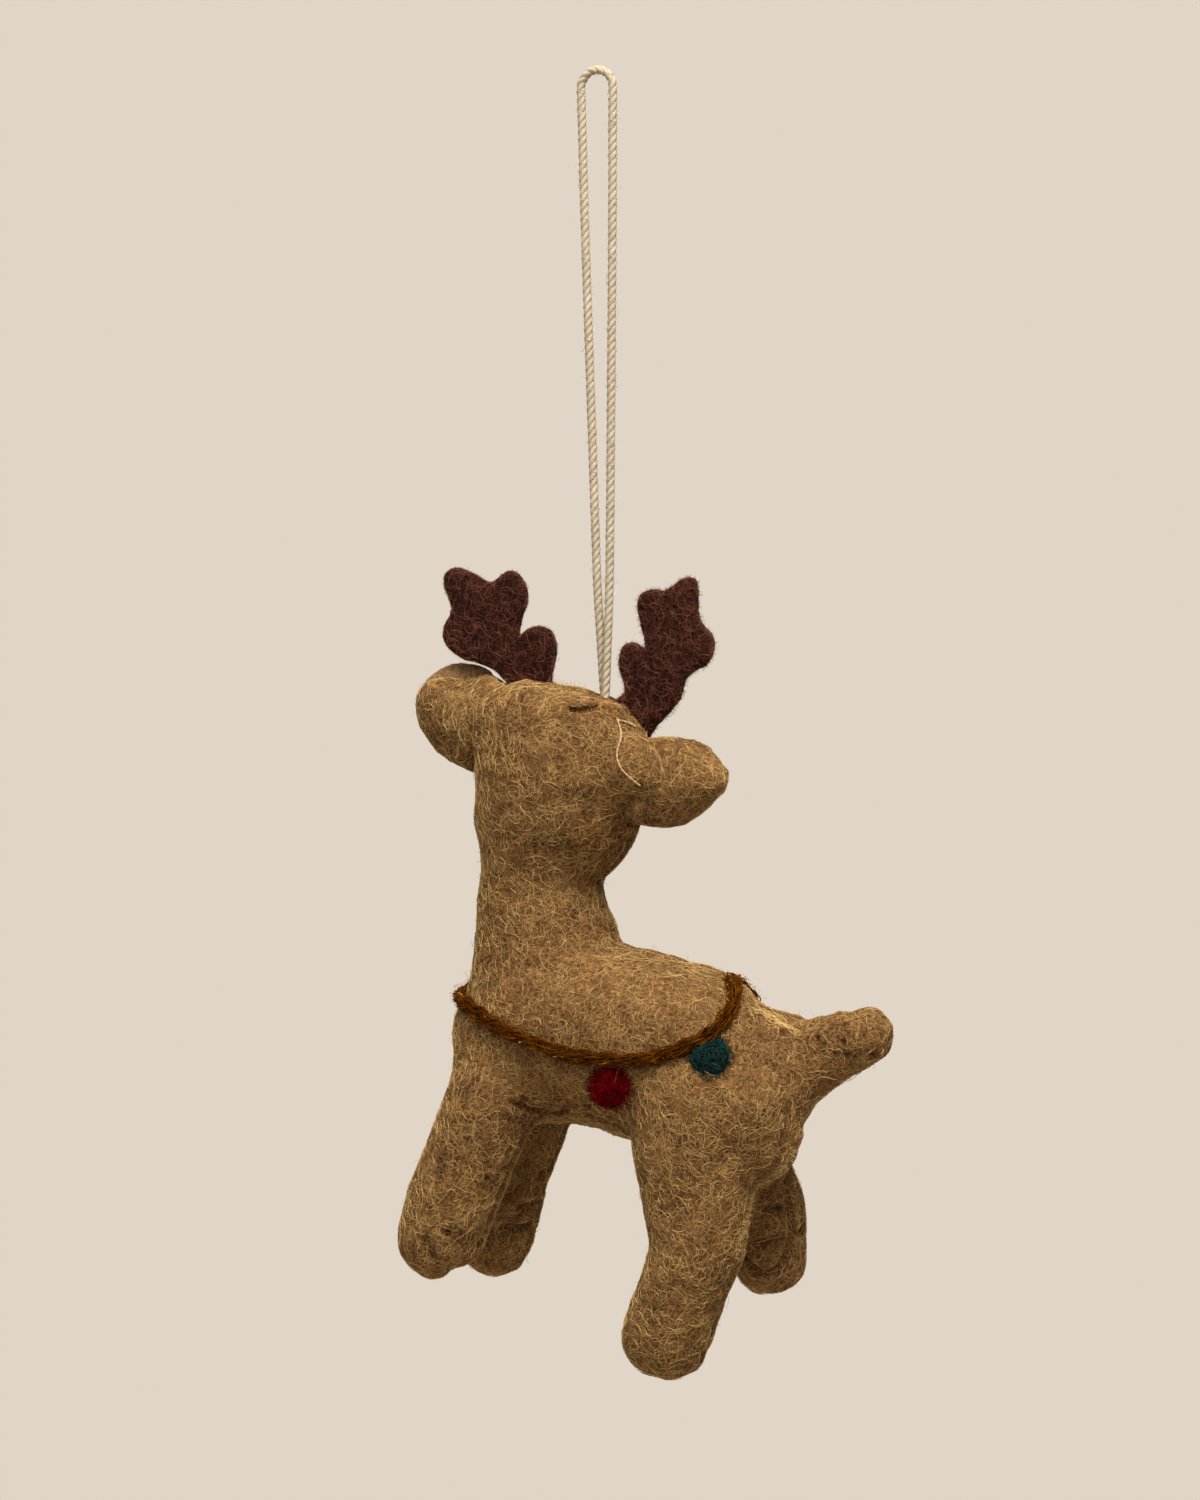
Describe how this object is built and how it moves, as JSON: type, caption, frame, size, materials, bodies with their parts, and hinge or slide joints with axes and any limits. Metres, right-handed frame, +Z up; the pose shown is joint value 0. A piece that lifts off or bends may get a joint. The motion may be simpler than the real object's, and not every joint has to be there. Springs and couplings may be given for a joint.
{
  "type": "hanging felt reindeer ornament",
  "caption": "Stuffed wool-felt reindeer with dark felt antlers and a yarn garland with felted dots, hung on a cotton cord loop. It sways and turns on the cord; ears and antlers flop.",
  "frame": {"origin": "the point inside the top of the hanging loop that bears on the peg or hook", "axes": "+Z up along the hanging cord, -X the way the reindeer walks, +Y the side that its head is turned to look towards"},
  "size_m": [0.0793, 0.039, 0.201],
  "materials": {
    "camel_felt": "matt needled wool felt with curly lighter fibres",
    "dark_felt": "matt thick wool felt, fuzzy cut edges",
    "lining_felt": "matt thin wool felt",
    "stuffing": "loose wadding",
    "cotton_cord": "matt twisted cotton",
    "gold_yarn": "fuzzy twisted yarn",
    "red_wool": "matt felted wool",
    "teal_wool": "matt felted wool",
    "eye_bead": "glossy bead"
  },
  "bodies": {
    "hanger": {"hanging_cord": "cotton_cord"},
    "swivel": {"cord_knot": "cotton_cord"},
    "reindeer": {"side_panel_left": "camel_felt", "side_panel_right": "camel_felt", "belly_gusset": "camel_felt", "torso_stuffing": "stuffing", "head_stuffing": "stuffing", "neck_stuffing": "stuffing", "tail_stuffing": "stuffing", "leg_front_left_stuffing": "stuffing", "leg_front_right_stuffing": "stuffing", "leg_rear_left_stuffing": "stuffing", "leg_rear_right_stuffing": "stuffing", "muzzle": "camel_felt", "nose": "dark_felt", "eye_left": "eye_bead", "eye_right": "eye_bead", "garland_yarn": "gold_yarn", "garland_knot": "gold_yarn", "dot_red_left": "red_wool", "dot_red_right": "red_wool", "dot_teal_left": "teal_wool", "dot_teal_right": "teal_wool"},
    "left_ear": {"ear_left": "camel_felt", "ear_lining_left": "lining_felt"},
    "right_ear": {"ear_right": "camel_felt", "ear_lining_right": "lining_felt"},
    "left_antler": {"antler_left": "dark_felt"},
    "right_antler": {"antler_right": "dark_felt"}
  },
  "joints": [
    {"name": "cord_twist", "type": "hinge", "parent": "hanger", "child": "swivel", "pos_m": [0, 0, -0.0964], "axis": [0, 0, 1], "continuous": true},
    {"name": "cord_sway", "type": "hinge", "parent": "swivel", "child": "reindeer", "pos_m": [0, 0, -0.0964], "axis": [1, 0, 0], "range_deg": [-60, 60]},
    {"name": "left_ear_flop", "type": "hinge", "parent": "reindeer", "child": "left_ear", "pos_m": [-0.01978, 0, -0.10158], "axis": [0.4384, 0, 0.8988], "range_deg": [-25, 25], "stiffness_Nm_per_rad": 0.0006},
    {"name": "right_ear_flop", "type": "hinge", "parent": "reindeer", "child": "right_ear", "pos_m": [0.00659, 0, -0.10964], "axis": [-0.1391, 0, -0.9903], "range_deg": [-25, 25], "stiffness_Nm_per_rad": 0.0006},
    {"name": "left_antler_flop", "type": "hinge", "parent": "reindeer", "child": "left_antler", "pos_m": [-0.01285, 0, -0.09426], "axis": [0.9787, 0, 0.2055], "range_deg": [-20, 20], "stiffness_Nm_per_rad": 0.0008},
    {"name": "right_antler_flop", "type": "hinge", "parent": "reindeer", "child": "right_antler", "pos_m": [0.00493, 0, -0.0997], "axis": [0.6964, 0, -0.7176], "range_deg": [-20, 20], "stiffness_Nm_per_rad": 0.0008}
  ]
}
